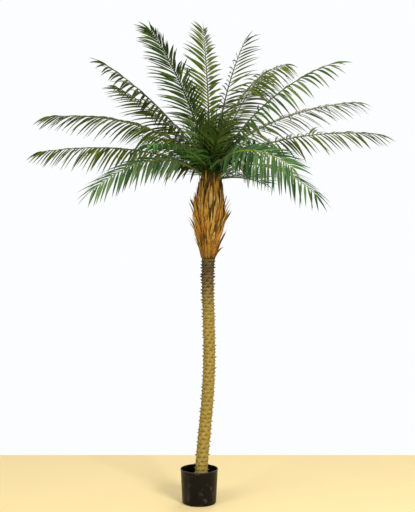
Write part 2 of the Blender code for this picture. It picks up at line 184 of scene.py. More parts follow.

# Light, middle and dark base colour of the leaflets in each tone, dealt out at random. Many tones are lit
# and shaded copies of one leaf green, given frond by frond: bluish holds a painted reflection of the sky,
# pale a painted glare of backlight through the leaflets, yellow painted light on upper faces turned to
# the lamps, olive the painted darkness of backlit undersides, and deep, shade and dark are painted shade
# for fronds in the middle and at the back of the crown.
LEAF_TONES = {
    "bluish": ((0.090, 0.175, 0.056), (0.050, 0.115, 0.032), (0.022, 0.062, 0.014)),
    "greyish": ((0.100, 0.165, 0.060), (0.058, 0.108, 0.036), (0.026, 0.060, 0.016)),
    "fresh": ((0.060, 0.165, 0.026), (0.032, 0.108, 0.015), (0.015, 0.058, 0.008)),
    "olive": ((0.082, 0.112, 0.010), (0.047, 0.072, 0.006), (0.024, 0.040, 0.003)),
    "yellow": ((0.090, 0.125, 0.010), (0.054, 0.084, 0.006), (0.028, 0.050, 0.004)),
    "pale": ((0.160, 0.160, 0.085), (0.085, 0.105, 0.040), (0.045, 0.065, 0.016)),
    "deep": ((0.096, 0.148, 0.034), (0.054, 0.100, 0.019), (0.027, 0.062, 0.009)),
    "middling": ((0.104, 0.162, 0.024), (0.042, 0.084, 0.010), (0.008, 0.020, 0.003)),
    "shade": ((0.056, 0.086, 0.008), (0.033, 0.053, 0.005), (0.016, 0.028, 0.003)),
    "dark": ((0.030, 0.060, 0.007), (0.018, 0.039, 0.004), (0.008, 0.022, 0.002)),
}

# Colour of the stem at its foot and further out; the deep, shade and dark stems are darker with the same
# painted shade as their leaflets.
RIB_TONES = {
    "bluish": ((0.090, 0.105, 0.020), (0.300, 0.330, 0.045)),
    "greyish": ((0.080, 0.095, 0.020), (0.130, 0.180, 0.045)),
    "fresh": ((0.080, 0.095, 0.020), (0.110, 0.180, 0.040)),
    "olive": ((0.080, 0.075, 0.018), (0.075, 0.095, 0.022)),
    "yellow": ((0.170, 0.120, 0.025), (0.060, 0.075, 0.018)),
    "deep": ((0.050, 0.060, 0.014), (0.040, 0.070, 0.016)),
    "pale": ((0.050, 0.045, 0.014), (0.110, 0.105, 0.050)),
    "middling": ((0.060, 0.065, 0.012), (0.028, 0.048, 0.010)),
    "shade": ((0.050, 0.045, 0.014), (0.045, 0.055, 0.016)),
    "dark": ((0.040, 0.036, 0.012), (0.030, 0.038, 0.010)),
}


def unit(vectors):
    """Vectors of the same directions, one metre long."""
    return vectors / np.linalg.norm(vectors, axis=-1, keepdims=True)


def at_height(pairs, height):
    """Straight interpolation in a list of (height, value), or of (share, value)."""
    places, values = zip(*pairs)
    return np.interp(height, places, values)


def turn_round(count):
    """Angles of some corners, evenly round a ring."""
    return FULL_TURN * np.arange(count) / count


def stacks(rings):
    """Skins many equal stacks of rings; returns points, quads, triangles and face owners.

    The axes of rings are item, station, corner and xyz. Quads join each ring to the next,
    and a fan closes both ends of each stack on the middle of its end ring. Corners run
    anticlockwise seen from the last station, so that faces point outwards.
    """
    items, stations, corners = rings.shape[:3]
    index = np.arange(items * stations * corners).reshape(items, stations, corners)
    turned = np.roll(index, -1, axis=2)
    quads = np.stack([index[:, :-1], turned[:, :-1], turned[:, 1:], index[:, 1:]], -1)
    middles = index.size + np.arange(2 * items).reshape(items, 2, 1)
    middles = np.broadcast_to(middles, (items, 2, corners))
    foot = np.stack([turned[:, 0], index[:, 0], middles[:, 0]], -1)
    tip = np.stack([index[:, -1], turned[:, -1], middles[:, 1]], -1)
    points = np.concatenate([rings.reshape(-1, 3), rings[:, [0, -1]].mean(2).reshape(-1, 3)])
    owner = np.arange(items)
    owners = [np.repeat(owner, (stations - 1) * corners), *[np.repeat(owner, corners)] * 2]
    triangles = np.concatenate([foot.reshape(-1, 3), tip.reshape(-1, 3)])
    return points, quads.reshape(-1, 4), triangles, np.concatenate(owners)


def blade_rings(middle, ahead, wide, half, thick, cup=0.0, corners=4):
    """Rings of blades, strips or round stems along middle lines.

    A corner at angle a lies half the width times sin a along wide, and half the thickness
    times cos a, plus cup times the size of sin a times half the width, along the face,
    which is the cross product of wide and ahead.
    """
    face = np.cross(wide, ahead)[..., None, :]
    angles = turn_round(corners)
    sine = np.sin(angles)[:, None]
    cosine = np.cos(angles)[:, None]
    half = np.asarray(half)[..., None, None]
    thick = np.asarray(thick)[..., None, None]
    cup = np.asarray(cup)[..., None, None] if np.ndim(cup) else cup
    lifted = thick / 2 * cosine + cup * np.abs(sine) * half
    return middle[..., None, :] + wide[..., None, :] * half * sine + face * lifted


def add_piece(name, rings, materials, nodes=(), tone_of=None, marks=None, crease=40.0):
    """A closed piece from stacks of rings, riding on the palm's one body.

    tone_of gives the material of each stack, and marks names values that go from 0 to 1
    over the corners of the rings, kept as point attributes.
    """
    points, quads, triangles, owners = stacks(rings)
    mesh = bpy.data.meshes.new(name)
    corners = np.concatenate([quads.ravel(), triangles.ravel()])
    counts = np.concatenate([np.full(len(quads), 4), np.full(len(triangles), 3)])
    mesh.vertices.add(len(points))
    mesh.vertices.foreach_set("co", points.ravel())
    mesh.loops.add(len(corners))
    mesh.loops.foreach_set("vertex_index", corners)
    mesh.polygons.add(len(counts))
    mesh.polygons.foreach_set("loop_start", np.cumsum(counts) - counts)
    mesh.polygons.foreach_set("loop_total", counts)
    if tone_of is not None:
        mesh.polygons.foreach_set("material_index", np.asarray(tone_of)[owners])
    mesh.update(calc_edges=True)
    for mark, values in (marks or {}).items():
        kept = mesh.attributes.new(mark, "FLOAT", "POINT")
        ends = values[:, [0, -1]].mean(2)
        kept.data.foreach_set("value", np.concatenate([values.ravel(), ends.ravel()]))
    for material in materials:
        mesh.materials.append(material)
    mesh.shade_smooth()
    mesh.set_sharp_from_angle(angle=math.radians(crease))
    piece = bpy.data.objects.new(name, mesh)
    bpy.context.scene.collection.objects.link(piece)
    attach(piece, "root")
    if nodes:
        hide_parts(*nodes)


def add_node(tree, kind, inputs=None, **settings):
    """A node with its settings made, and its sockets filled with values or links."""
    made = tree.nodes.new(kind)
    for name, value in settings.items():
        setattr(made, name, value)
    for name, value in (inputs or {}).items():
        if isinstance(value, bpy.types.NodeSocket):
            tree.links.new(value, made.inputs[name])
        else:
            made.inputs[name].default_value = value
    return made


def new_group(name, inputs, outputs):
    """An empty shader node group; returns its tree, its inputs and its output node."""
    tree = bpy.data.node_groups.new(name, "ShaderNodeTree")
    for title, (kind, value) in inputs.items():
        socket = tree.interface.new_socket(title, in_out="INPUT", socket_type=kind)
        if value is not None:
            socket.default_value = value
    for title, kind in outputs.items():
        tree.interface.new_socket(title, in_out="OUTPUT", socket_type=kind)
    entry = add_node(tree, "NodeGroupInput")
    return tree, entry.outputs, add_node(tree, "NodeGroupOutput")


def noise(tree, vector, scale, detail):
    """Plain noise on some coordinates, about 0.5 in the middle."""
    inputs = {"Vector": vector, "Scale": scale, "Detail": detail}
    return add_node(tree, "ShaderNodeTexNoise", inputs).outputs["Fac"]


def ramp(tree, value, low, high):
    """The value carried from the range low to high on to 0 to 1."""
    inputs = {"Value": value, "From Min": low, "From Max": high}
    return add_node(tree, "ShaderNodeMapRange", inputs).outputs[0]


FLOAT, VECTOR = "NodeSocketFloat", "NodeSocketVector"


def fibre_grain_group():
    """Streaks along Z: noise on coordinates that are stretched less along than across."""
    inputs = {"Vector": (VECTOR, None), "Across": (FLOAT, 200.0), "Along": (FLOAT, 12.0)}
    tree, entry, leave = new_group("fibre grain", inputs, {"Mask": FLOAT, "Height": FLOAT})
    axes = {"X": entry["Across"], "Y": entry["Across"], "Z": entry["Along"]}
    scale = add_node(tree, "ShaderNodeCombineXYZ", axes).outputs[0]
    stretch = {0: entry["Vector"], 1: scale}
    stretched = add_node(tree, "ShaderNodeVectorMath", stretch, operation="MULTIPLY").outputs[0]
    grain = noise(tree, stretched, 1.0, 5.0)
    tree.links.new(ramp(tree, grain, 0.36, 0.64), leave.inputs["Mask"])
    tree.links.new(grain, leave.inputs["Height"])
    return tree


def patches_group():
    """Soft patches: noise that fades in between two of its values."""
    inputs = {"Vector": (VECTOR, None), "Scale": (FLOAT, 8.0), "From": (FLOAT, 0.45), "To": (FLOAT, 0.65)}
    tree, entry, leave = new_group("patches", inputs, {"Mask": FLOAT})
    cloud = noise(tree, entry["Vector"], entry["Scale"], 4.0)
    tree.links.new(ramp(tree, cloud, entry["From"], entry["To"]), leave.inputs["Mask"])
    return tree


GRAIN = fibre_grain_group()
PATCHES = patches_group()


def start_material(name, colour, roughness, specular=0.5):
    """A material with its tree, its shader and its Object coordinates."""
    material = bpy.data.materials.new(name)
    material.use_nodes = True
    material.diffuse_color = (*colour, 1)
    tree = material.node_tree
    shader = tree.nodes["Principled BSDF"]
    shader.inputs["Base Color"].default_value = (*colour, 1)
    shader.inputs["Roughness"].default_value = roughness
    shader.inputs["Specular IOR Level"].default_value = specular
    coords = add_node(tree, "ShaderNodeTexCoord").outputs["Object"]
    return material, tree, shader, coords


def place_group(tree, group, inputs):
    """One of the shared groups, placed in a material with its own values."""
    return add_node(tree, "ShaderNodeGroup", inputs, node_tree=group)


def mix(tree, share, first, second):
    """A colour between two, each a link or a plain colour."""
    made = add_node(tree, "ShaderNodeMix", {}, data_type="RGBA")
    for index, value in ((0, share), (6, first), (7, second)):
        if isinstance(value, bpy.types.NodeSocket):
            tree.links.new(value, made.inputs[index])
        elif index:
            made.inputs[index].default_value = (*value, 1)
        else:
            made.inputs[index].default_value = value
    return made.outputs[2]


def times(tree, colour, factor):
    """A linked colour made lighter or darker by a plain factor."""
    inputs = {0: colour, "Scale": factor}
    return add_node(tree, "ShaderNodeVectorMath", inputs, operation="SCALE").outputs[0]


def product(tree, first, second):
    """Two values multiplied, of which the second may be a plain number."""
    return add_node(tree, "ShaderNodeMath", {0: first, 1: second}, operation="MULTIPLY").outputs[0]


def paint(tree, shader, colour):
    """Gives a material the base colour that its other nodes make."""
    tree.links.new(colour, shader.inputs["Base Color"])


def add_bump(tree, shader, height, strength, distance):
    """Fine relief that only the shading shows."""
    inputs = {"Height": height, "Strength": strength, "Distance": distance}
    bump = add_node(tree, "ShaderNodeBump", inputs)
    tree.links.new(bump.outputs["Normal"], shader.inputs["Normal"])


def attribute(tree, name):
    """The value that a piece's points carry under a name."""
    return add_node(tree, "ShaderNodeAttribute", attribute_name=name).outputs["Fac"]


def height_of(tree, coords):
    """Height above the pot's underside."""
    return add_node(tree, "ShaderNodeSeparateXYZ", {"Vector": coords}).outputs["Z"]


def pot_plastic():
    """Thin black plastic with dusty smudges, a painted highlight that makes the lip paler, and uneven
    gloss.
    """
    black, dusty, pale = (0.0027, 0.0020, 0.0012), (0.050, 0.048, 0.046), (0.055, 0.053, 0.048)
    material, tree, shader, coords = start_material("pot_plastic", black, 0.38, 0.14)
    smudges = place_group(tree, PATCHES, {"Vector": coords, "Scale": 22.0, "From": 0.55, "To": 0.76})
    streaks = place_group(tree, GRAIN, {"Vector": coords, "Across": 60.0, "Along": 9.0})
    dust = product(tree, smudges.outputs["Mask"], streaks.outputs["Mask"])
    lip = ramp(tree, height_of(tree, coords), POT_HEIGHT - LIP_HEIGHT, POT_HEIGHT)
    # Painted highlight: pale colour in streaks along the top of the lip.
    lip_highlight = product(tree, lip, streaks.outputs["Mask"])
    paint(tree, shader, mix(tree, lip_highlight, mix(tree, dust, black, dusty), pale))
    gloss = add_node(tree, "ShaderNodeMapRange", {"Value": dust, "To Min": 0.34, "To Max": 0.62})
    tree.links.new(gloss.outputs[0], shader.inputs["Roughness"])
    add_bump(tree, shader, smudges.outputs["Mask"], 0.15, 0.0006)
    return material


def cement():
    """Grey-brown cast cement, damp and dark in patches, with a sandy grain."""
    grey, damp = (0.115, 0.102, 0.085), (0.045, 0.040, 0.034)
    material, tree, shader, coords = start_material("cement", grey, 0.92)
    damp_spots = place_group(tree, PATCHES, {"Vector": coords, "Scale": 38.0, "From": 0.42, "To": 0.60})
    paint(tree, shader, mix(tree, damp_spots.outputs["Mask"], grey, damp))
    add_bump(tree, shader, noise(tree, coords, 900.0, 3.0), 0.6, 0.0012)
    return material


def studded_bark():
    """Khaki bark, stony at the foot, dark brown below the husk with frayed strands at its top.

    Painted shadow darkens its hollows under the studs, and a painted highlight makes its ridges paler.
    """
    khaki, olive = (0.330, 0.245, 0.055), (0.235, 0.168, 0.030)
    brown, umber, stone = (0.140, 0.090, 0.030), (0.058, 0.038, 0.016), (0.300, 0.205, 0.110)
    strand, shadow, deep_shadow = (0.200, 0.150, 0.045), (0.128, 0.084, 0.012), (0.030, 0.018, 0.007)
    material, tree, shader, coords = start_material("studded_bark", khaki, 0.72, 0.2)
    height = height_of(tree, coords)
    cloud = noise(tree, coords, 26.0, 4.0)
    sway = {0: cloud, 1: 0.16, 2: height}
    wander = add_node(tree, "ShaderNodeMath", sway, operation="MULTIPLY_ADD").outputs[0]
    streaks = place_group(tree, GRAIN, {"Vector": coords, "Across": 220.0, "Along": 45.0})
    body = mix(tree, streaks.outputs["Mask"], olive, khaki)
    body = mix(tree, ramp(tree, wander, 1.15, 1.35), body, brown)
    body = mix(tree, ramp(tree, wander, 1.35, 1.43), body, umber)
    strands = place_group(tree, GRAIN, {"Vector": coords, "Across": 110.0, "Along": 14.0}).outputs["Mask"]
    frayed = product(tree, product(tree, strands, 0.5), ramp(tree, height, 1.335, 1.372))
    body = mix(tree, frayed, body, strand)
    body = mix(tree, ramp(tree, wander, 0.265, 0.235), body, stone)
    dashes = place_group(tree, GRAIN, {"Vector": coords, "Across": 42.0, "Along": 300.0})
    body = mix(tree, dashes.outputs["Mask"], body, times(tree, body, 0.72))
    # Painted highlight: the raised ridges between the studs are made paler.
    body = mix(tree, product(tree, attribute(tree, "ridge"), 0.8), body, times(tree, body, 1.7))
    # Painted shadow: the hollow mark fills the dimple under each stud with shadow colours, deeper higher
    # up.
    dark = mix(tree, ramp(tree, wander, 1.14, 1.36), shadow, deep_shadow)
    paint(tree, shader, mix(tree, attribute(tree, "hollow"), body, dark))
    add_bump(tree, shader, streaks.outputs["Height"], 0.5, 0.0015)
    return material


def thorn_bark():
    """The thorns: bark colour at the root and darker at the point, browner up the trunk."""
    khaki, brown = (0.215, 0.152, 0.034), (0.060, 0.037, 0.014)
    olive, umber = (0.100, 0.066, 0.018), (0.045, 0.028, 0.011)
    material, tree, shader, coords = start_material("thorn_bark", khaki, 0.70, 0.2)
    level = ramp(tree, height_of(tree, coords), 1.10, 1.24)
    root, point = mix(tree, level, khaki, brown), mix(tree, level, olive, umber)
    paint(tree, shader, mix(tree, ramp(tree, attribute(tree, "along"), 0.7, 1.0), root, point))
    return material


def dry_fibre(name, light, dark, roughness=0.85):
    """Dry split fibre: streaks between a light and a dark colour, with painted shade where a strip lies
    under the tier above it, and darker low on the spindle.
    """
    material, tree, shader, coords = start_material(name, light, roughness, 0.1)
    streaks = place_group(tree, GRAIN, {"Vector": coords, "Across": 260.0, "Along": 9.0})
    cloud = place_group(tree, PATCHES, {"Vector": coords, "Scale": 30.0, "From": 0.40, "To": 0.62})
    shade = mix(tree, streaks.outputs["Mask"], mix(tree, cloud.outputs["Mask"], dark, light), light)
    shade = mix(tree, ramp(tree, height_of(tree, coords), 1.54, 1.43), shade, times(tree, shade, 0.66))
    # Painted shade: the foot of each husk strip is darkened where the tier above covers it.
    paint(tree, shader, mix(tree, attribute(tree, "tucked_shade"), shade, times(tree, shade, 0.30)))
    add_bump(tree, shader, streaks.outputs["Height"], 0.7, 0.0020)
    return material


def heart_fibre():
    """The heart's wound fibre: brown at its foot, like the husk, and dark green above."""
    material = dry_fibre("heart_fibre", (0.036, 0.052, 0.012), (0.014, 0.022, 0.006))
    tree = material.node_tree
    shader = tree.nodes["Principled BSDF"]
    green = shader.inputs["Base Color"].links[0].from_socket
    coords = tree.nodes["Texture Coordinate"].outputs["Object"]
    level = ramp(tree, height_of(tree, coords), 1.850, 1.885)
    paint(tree, shader, mix(tree, level, (0.075, 0.040, 0.010), green))
    return material


def moulded_rib(name, root, green):
    """A moulded stem: one colour at its foot and another further out, mixed in soft clouds."""
    material, tree, shader, coords = start_material(name, green, 0.48, 0.2)
    cloud = place_group(tree, PATCHES, {"Vector": coords, "Scale": 22.0, "From": 0.40, "To": 0.66})
    body = mix(tree, ramp(tree, attribute(tree, "along"), 0.02, 0.30), root, green)
    paint(tree, shader, mix(tree, product(tree, cloud.outputs["Mask"], 0.5), body, root))
    return material


def leaf_green(name, colour):
    """Satin moulded leaf in one plain colour, with fine veins along it in its bump."""
    material, tree, shader, _ = start_material(name, colour, 0.46, 0.10)
    turns = product(tree, attribute(tree, "across"), 44.0)
    vein = add_node(tree, "ShaderNodeMath", {0: turns}, operation="SINE").outputs[0]
    add_bump(tree, shader, vein, 0.25, 0.0003)
    return material


def floor_paint(colour):
    """Matt paint, a little deeper in wide soft clouds."""
    material, tree, shader, coords = start_material("floor_paint", colour, 0.9)
    deeper = tuple(0.94 * value for value in colour)
    paint(tree, shader, mix(tree, noise(tree, coords, 1.3, 3.0), deeper, colour))
    return material


def add_camera():
    """The photograph's view: level, at standing eye height, in front of the palm."""
    data = bpy.data.cameras.new("camera")
    data.sensor_width = 36.0
    data.lens = 56.95
    data.shift_y = 0.0133
    camera = bpy.data.objects.new("camera", data)
    camera.location = (0.047, -4.60, 1.36)
    camera.rotation_euler = (math.radians(90), 0, 0)
    bpy.context.scene.collection.objects.link(camera)
    bpy.context.scene.camera = camera


def add_area_light(name, place, aim, size, power, colour):
    """A square lamp turned so that it shines from its place to its aim."""
    data = bpy.data.lights.new(name, "AREA")
    data.size = size
    data.energy = power
    data.color = colour
    light = bpy.data.objects.new(name, data)
    light.location = place
    back = unit(np.array(place, float) - np.array(aim, float))
    light.rotation_euler = (math.acos(back[2]), 0, math.atan2(back[1], back[0]) + math.pi / 2)
    bpy.context.scene.collection.objects.link(light)


def add_stage():
    """A pale floor that ends behind the palm, an even sky and three soft lamps.

    The camera sees the sky brighter than the palm is lit by it.
    """
    left, right, near, far = -1.9, 1.9, -1.75, 1.13
    mesh = bpy.data.meshes.new("floor")
    corners = [(left, near, 0), (right, near, 0), (right, far, 0), (left, far, 0)]
    mesh.from_pydata(corners, [], [(0, 1, 2, 3)])
    mesh.materials.append(floor_paint((0.83, 0.675, 0.35)))
    floor = bpy.data.objects.new("floor", mesh)
    bpy.context.scene.collection.objects.link(floor)
    world = bpy.data.worlds.new("pale_studio")
    world.use_nodes = True
    tree = world.node_tree
    sky = tree.nodes["Background"]
    seen = add_node(tree, "ShaderNodeLightPath").outputs["Is Camera Ray"]
    strength = add_node(tree, "ShaderNodeMapRange", {"Value": seen, "To Min": 0.62, "To Max": 1.0})
    tree.links.new(strength.outputs[0], sky.inputs["Strength"])
    tree.links.new(mix(tree, seen, (1.0, 0.97, 0.90), (0.98, 0.985, 1.0)), sky.inputs["Color"])
    scene = bpy.context.scene
    scene.world = world
    scene.view_settings.view_transform = "Standard"
    aim = (0, 0, 1.6)
    add_area_light("key", (2.6, -4.6, 3.0), aim, 1.6, 300, (1.0, 0.97, 0.90))
    add_area_light("fill", (-3.4, -3.6, 4.2), aim, 2.6, 130, (1.0, 0.985, 0.94))
    add_area_light("back", (1.5, 4.5, 4.5), aim, 2.6, 90, (0.97, 0.98, 1.0))


def pot_profile():
    """Radius and height from under the pot, up its wall, over the lip and down inside.

    The edge of the foot is a quarter circle, the wall leans evenly outwards, and the lip
    is part of an ellipse.
    """
    middle = 0.001
    bend = np.radians(np.linspace(-90, 0, 7))
    edge_radius = POT_FOOT_RADIUS - POT_EDGE + POT_EDGE * np.cos(bend)
    edge = np.stack([edge_radius, POT_EDGE + POT_EDGE * np.sin(bend)], 1)
    slope = (POT_TOP_RADIUS - POT_FOOT_RADIUS) / POT_HEIGHT
    wall_heights = np.array([0.03, 0.06, 0.09, 0.12, 0.15, 0.178])
    wall = np.stack([POT_FOOT_RADIUS + slope * wall_heights, wall_heights], 1)
    roll = np.radians(np.linspace(-60, 90, 6))
    bulge = LIP_HEIGHT / 2 * LIP_BULGE
    lip_heights = POT_HEIGHT - LIP_HEIGHT / 2 + LIP_HEIGHT / 2 * np.sin(roll)
    lip = np.stack([POT_LIP_RADIUS - bulge + bulge * np.cos(roll), lip_heights], 1)
    inner = POT_TOP_RADIUS - POT_WALL
    inner_foot = POT_FOOT_RADIUS - POT_WALL
    inside = [(inner, POT_HEIGHT), (inner - 0.0004, POT_HEIGHT - 0.002), (inner - 0.002, FILL_TOP)]
    floor = [(inner_foot, POT_EDGE + POT_WALL), (inner_foot - POT_EDGE, POT_WALL), (middle, POT_WALL)]
    return np.concatenate([[(middle, 0.0)], edge, wall, lip, inside, floor])


def make_pot():
    """The profile turned about the upright axis, with a radius that swings twice a turn."""
    profile = pot_profile()
    angles = turn_round(112)
    radius = profile[:, :1] * (1 + POT_OVAL * np.cos(2 * angles + 0.6))
    height = np.broadcast_to(profile[:, 1:], radius.shape)
    rings = np.stack([radius * np.cos(angles), radius * np.sin(angles), height], -1)
    add_piece("pot_shell", rings[None], [pot_plastic()], ["pot"], crease=50.0)


def ripples(rng, angle, run, waves, size):
    """A smooth random relief: a sum of cosines of whole-numbered angle and free run."""
    total = 0.0
    for _ in range(waves):
        around, along, phase = rng.integers(1, 7), rng.uniform(20, 160), rng.uniform(0, FULL_TURN)
        total = total + np.cos(around * angle + along * run + phase)
    return size * total / math.sqrt(waves)


def make_fill():
    """Cast cement: a disc with a wavy top that creeps up the trunk and the pot's wall.

    The creep dies away exponentially with the distance from the trunk, and grows with the
    twelfth power of the way out to the wall.
    """
    rng = np.random.default_rng(FILL_SEED)
    shares = np.linspace(0.02, 1, 30)[:, None]
    angles = turn_round(96)
    radius = shares * FILL_RADIUS
    trunk_lean, trunk_radius = TRUNK_LEAN[0][1], TRUNK_RADII[0][1]
    trunk_edge = np.hypot(radius * np.cos(angles) - trunk_lean, radius * np.sin(angles)) - trunk_radius
    creep = TRUNK_CREEP * np.exp(-np.abs(trunk_edge) / TRUNK_CREEP) + WALL_CREEP * shares**12
    top = FILL_TOP - TRUNK_CREEP + creep + ripples(rng, angles, radius, 14, 0.0006)
    disc = np.stack([radius * np.cos(angles), radius * np.sin(angles), top], -1)
    foot_radius, foot = 0.98 * FILL_RADIUS, np.full(len(angles), FILL_FOOT)
    side = np.stack([foot_radius * np.cos(angles), foot_radius * np.sin(angles), foot], -1)
    rings = np.concatenate([side[None], disc[::-1]])
    add_piece("cement_fill", rings[None], [cement()], ["pot_fill"], crease=60.0)


def trunk_centre(height):
    """The source's curve: a fourth-degree polynomial near the listed leans."""
    heights, leans = zip(*TRUNK_LEAN)
    return np.polynomial.Polynomial.fit(heights, leans, 4)(height)


def stud_rows():
    """Heights of the rows of studs: each step up is the pitch at that height."""
    levels = [FILL_TOP + 0.012]
    while levels[-1] < TRUNK_TOP:
        levels.append(levels[-1] + at_height(STUD_PITCH, levels[-1]))
    return np.array(levels[:-1])


def stud_places():
    """Angle, height and size of every stud: a diamond lattice that winds slowly, jittered."""
    rng = np.random.default_rng(STUD_SEED)
    levels = stud_rows()
    row, column = np.meshgrid(np.arange(len(levels)), np.arange(STUDS_ROUND), indexing="ij")
    turns = column + 0.5 * (row % 2) - STUD_SHEAR * row + rng.normal(0, 0.07, row.shape)
    height = levels[:, None] + rng.normal(0, 0.0018, row.shape)
    return FULL_TURN * turns / STUDS_ROUND, height, rng.uniform(0.8, 1.15, row.shape)


def stud_relief(angle, height):
    """The bark's relief round its studs: bosses, hollows under them, and ridges between.

    Each point is set against the studs of the five nearest rows. A boss and a hollow are
    bell curves of the distance along the surface, and a ridge is one of how much nearer
    the nearest stud is than the second nearest.
    """
    stud_angle, stud_height, size = stud_places()
    nearest = np.clip(np.searchsorted(stud_rows(), height), 2, len(size) - 3)
    radius = at_height(TRUNK_RADII, height)
    pitch = at_height(STUD_PITCH, height)
    cell = at_height(((0.75, 0.017), (1.30, 0.026)), height)
    mark = at_height(((1.00, 0.0155), (1.22, 0.0215)), height)
    first = np.full(np.broadcast(angle, height).shape, 9.0)
    second, boss, hollow = first.copy(), 0 * first, 0 * first
    for offset in range(-2, 3):
        for column in range(STUDS_ROUND):
            away = angle - stud_angle[nearest + offset, column]
            around = radius * (np.mod(away + math.pi, FULL_TURN) - math.pi)
            above = height - stud_height[nearest + offset, column]
            share = size[nearest + offset, column]
            boss += share * np.exp(-((around / BOSS_ROUND) ** 2) - (above / BOSS_UP) ** 2)
            under = above + HOLLOW_BELOW - HOLLOW_SLANT * around
            hollow += share * np.exp(-((around / mark) ** 2) - (under / HOLLOW_UP) ** 2)
            distance = np.hypot(around / cell, above / pitch)
            second = np.minimum(second, np.maximum(first, distance))
            first = np.minimum(first, distance)
    return boss, np.clip(hollow, 0, 1), np.exp(-(((second - first) / RIDGE_SPREAD) ** 2))


def make_trunk():
    """Bowed bark tube: a grid of angle and height, pushed out by the studs' relief."""
    rng = np.random.default_rng(STUD_SEED + 1)
    angle = turn_round(104)[None]
    height = np.linspace(FILL_TOP - 0.01, TRUNK_TOP, 620)[:, None]
    boss, hollow, ridge = stud_relief(angle, height)
    relief = BOSS_RISE * boss - HOLLOW_DEPTH * hollow + RIDGE_RISE * ridge
    radius = at_height(TRUNK_RADII, height) - BARK_SUNK + relief
    radius = radius + ripples(rng, angle, height, 20, 0.0004)
    radius = np.where(height < FILL_TOP, np.minimum(radius, RADIUS_IN_FILL), radius)
    centre = trunk_centre(height)
    levels = np.broadcast_to(height, radius.shape)
    rings = np.stack([centre + radius * np.cos(angle), radius * np.sin(angle), levels], -1)
    # The hollow and ridge marks also carry the bark's painted shadow and painted highlight.
    marks = {"hollow": 0.95 * hollow[None], "ridge": ridge[None]}
    add_piece("trunk_bark", rings[None], [studded_bark()], ["trunk"], marks=marks, crease=75.0)


def make_thorns():
    """A short hooked thorn on each stud: an oval stem that thins to a point.

    It goes straight outwards and rises with the square of the way along.
    """
    angle, height, size = (values.ravel() for values in stud_places())
    keep = (height > FILL_TOP + 0.006) & (height < TRUNK_TOP - 0.008)
    angle, height, size = angle[keep], height[keep], size[keep]
    outward = np.stack([np.cos(angle), np.sin(angle), 0 * angle], -1)
    base = np.stack([trunk_centre(height), 0 * height, height], -1)
    base += outward * (at_height(TRUNK_RADII, height) - 0.001)[:, None]
    along = np.linspace(0, 1, 5)[None, :, None]
    reach = (THORN_REACH * size * at_height(((1.0, 1.0), (1.25, 1.12)), height))[:, None, None]
    middle = base[:, None] + reach * (along * outward[:, None] + THORN_RISE * along**2 * UP)
    ahead = unit(outward[:, None] + 2 * THORN_RISE * along * UP)
    wide = np.broadcast_to(np.cross(UP, outward)[:, None], ahead.shape)
    root = THORN_ROOT * size * at_height(((1.0, 1.0), (1.25, 1.25)), height)
    half = root[:, None] * (1 - along[..., 0]) ** 0.9 + 0.0003
    rings = blade_rings(middle, ahead, wide, half, 1.7 * half, corners=6)
    marks = {"along": np.broadcast_to(along, rings.shape[:3])}
    add_piece("trunk_thorns", rings, [thorn_bark()], marks=marks, crease=80.0)


def husk_axis(height):
    """The middle of the spindle at a height, and nought along Y."""
    return np.stack([at_height(HUSK_LEAN, height), 0 * height, height], -1)


def make_husk_core():
    """The dark spindle behind the strips: its listed radius at each height, and ripples."""
    height = np.linspace(HUSK_FOOT, HUSK_TOP, 60)[:, None]
    angle = turn_round(48)[None]
    rng = np.random.default_rng(HUSK_SEED)
    radius = at_height(HUSK_RADII, height) - 0.001 + ripples(rng, angle, height, 16, 0.0010)
    levels = np.broadcast_to(height, radius.shape)
    centre = at_height(HUSK_LEAN, height)
    rings = np.stack([centre + radius * np.cos(angle), radius * np.sin(angle), levels], -1)
    material = dry_fibre("husk_core_fibre", (0.085, 0.044, 0.008), (0.028, 0.015, 0.003))
    add_piece("husk_spindle", rings[None], [material], ["husk_core"], crease=75.0)


def strip_paths(angle, foot, length, flare, drift, stations=9):
    """Middle lines, directions and sideways vectors of strips that rise on the spindle.

    The radius is the spindle's at that height, plus a stand-off that grows evenly and a
    flare that grows with the square of the way along; the heading drifts evenly.
    """
    share = np.linspace(0, 1, stations)[None]
    height = foot[:, None] + length[:, None] * share
    flared = flare[:, None] * length[:, None] * share**2
    radius = at_height(HUSK_RADII, height) + 0.0008 + 0.006 * share + flared
    heading = angle[:, None] + drift[:, None] * share
    outward = np.stack([np.cos(heading), np.sin(heading), 0 * heading], -1)
    middle = husk_axis(height) + radius[..., None] * outward
    ahead = unit(np.gradient(middle, axis=1))
    wide = unit(np.cross(ahead, outward))
    return share, middle, ahead, wide


